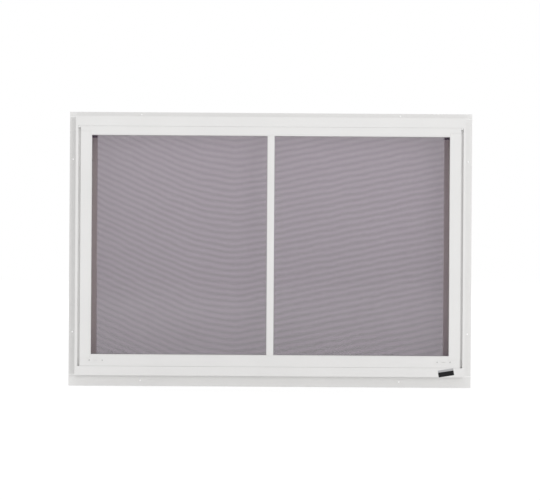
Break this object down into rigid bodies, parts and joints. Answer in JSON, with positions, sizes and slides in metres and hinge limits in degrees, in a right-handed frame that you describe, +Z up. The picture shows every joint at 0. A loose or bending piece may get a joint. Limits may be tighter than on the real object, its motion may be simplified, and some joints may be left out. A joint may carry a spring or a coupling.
{
  "type": "top-hung window with crank",
  "caption": "White aluminium window with nailing fins: a top-hung sash with a middle bar swings out on a crank-driven turning bar, with an insect screen on the room side.",
  "frame": {"origin": "middle of the window, on the back face of the nailing fins, at the centre of the side fins' nail holes", "axes": "+X along the window, +Y from outside to the room, +Z up"},
  "size_m": [0.9328, 0.1557, 0.635],
  "materials": {
    "white_aluminium": "satin",
    "glass": "clear",
    "black_rubber": "matte",
    "plated_steel": "satin",
    "bronze": "machined",
    "black_nylon": "matte",
    "white_cast_metal": "satin",
    "bronze_aluminium": "satin",
    "grey_mesh": "woven",
    "white_plastic": "gloss"
  },
  "bodies": {
    "frame": {"head": "white_aluminium", "sill": "white_aluminium", "left_jamb": "white_aluminium", "right_jamb": "white_aluminium", "corner_screws": "plated_steel", "weatherstrip": "black_rubber", "hinge_pins": "plated_steel", "hinge_bushes": "white_plastic", "left_bearing": "black_nylon", "right_bearing": "black_nylon", "bearing_screws": "plated_steel", "drive_case": "white_cast_metal", "drive_lid": "white_cast_metal", "case_screws": "plated_steel", "escutcheon": "white_cast_metal", "escutcheon_screws": "plated_steel", "screen_left_rail": "bronze_aluminium", "screen_right_rail": "bronze_aluminium", "screen_top_rail": "bronze_aluminium", "screen_bottom_rail": "bronze_aluminium", "screen_corners": "black_nylon", "screen_cord": "black_rubber", "screen_mesh": "grey_mesh", "clip_screws": "plated_steel"},
    "sash": {"top_rail": "white_aluminium", "bottom_rail": "white_aluminium", "left_stile": "white_aluminium", "right_stile": "white_aluminium", "glazing_bar": "white_aluminium", "left_pane": "glass", "right_pane": "glass", "left_gasket": "black_rubber", "right_gasket": "black_rubber", "left_beads": "white_aluminium", "right_beads": "white_aluminium", "setting_blocks": "black_rubber", "sash_screws": "plated_steel", "weep_covers": "white_aluminium", "weep_rivets": "plated_steel", "left_sash_arm": "plated_steel", "right_sash_arm": "plated_steel", "arm_screws": "plated_steel"},
    "turning_bar": {"turning_bar": "plated_steel", "left_lever": "plated_steel", "right_lever": "plated_steel", "worm_wheel": "bronze"},
    "left_link": {"left_link": "plated_steel"},
    "right_link": {"right_link": "plated_steel"},
    "crank": {"worm_shaft": "plated_steel", "crank_arm": "white_cast_metal", "crank_set_screw": "plated_steel"},
    "knob": {"crank_knob": "white_plastic"},
    "lower_left_clip": {"lower_left_clip": "bronze_aluminium"},
    "lower_right_clip": {"lower_right_clip": "bronze_aluminium"},
    "upper_left_clip": {"upper_left_clip": "bronze_aluminium"},
    "upper_right_clip": {"upper_right_clip": "bronze_aluminium"}
  },
  "joints": [
    {"name": "sash_swing", "type": "hinge", "parent": "frame", "child": "sash", "pos_m": [0, -0.025, 0.2754], "axis": [-1, 0, 0], "range_deg": [0, 30]},
    {"name": "bar_turn", "type": "hinge", "parent": "frame", "child": "turning_bar", "pos_m": [0, 0.0205, -0.274], "axis": [-1, 0, 0], "range_deg": [0, 30]},
    {"name": "left_link_turn", "type": "hinge", "parent": "turning_bar", "child": "left_link", "pos_m": [0, 0.05141, -0.26572], "axis": [-1, 0, 0], "range_deg": [-30, 0]},
    {"name": "right_link_turn", "type": "hinge", "parent": "turning_bar", "child": "right_link", "pos_m": [0, 0.05141, -0.26572], "axis": [-1, 0, 0], "range_deg": [-30, 0]},
    {"name": "crank_turn", "type": "hinge", "parent": "frame", "child": "crank", "pos_m": [0, 0.07, -0.2886], "axis": [0, 1, 0], "range_deg": [0, 720]},
    {"name": "knob_spin", "type": "hinge", "parent": "crank", "child": "knob", "pos_m": [0.06, 0.1, -0.2886], "axis": [0, 1, 0], "continuous": true},
    {"name": "lower_left_clip_turn", "type": "hinge", "parent": "frame", "child": "lower_left_clip", "pos_m": [-0.438, 0.07, -0.15], "axis": [0, -1, 0], "range_deg": [0, 90]},
    {"name": "lower_right_clip_turn", "type": "hinge", "parent": "frame", "child": "lower_right_clip", "pos_m": [0.438, 0.07, -0.15], "axis": [0, 1, 0], "range_deg": [0, 90]},
    {"name": "upper_left_clip_turn", "type": "hinge", "parent": "frame", "child": "upper_left_clip", "pos_m": [-0.438, 0.07, 0.15], "axis": [0, -1, 0], "range_deg": [0, 90]},
    {"name": "upper_right_clip_turn", "type": "hinge", "parent": "frame", "child": "upper_right_clip", "pos_m": [0.438, 0.07, 0.15], "axis": [0, 1, 0], "range_deg": [0, 90]}
  ],
  "couplings": [
    {"joint": "bar_turn", "follows": "sash_swing", "ratio": 1},
    {"joint": "left_link_turn", "follows": "sash_swing", "ratio": -1},
    {"joint": "right_link_turn", "follows": "sash_swing", "ratio": -1},
    {"joint": "crank_turn", "follows": "sash_swing", "ratio": 24}
  ]
}
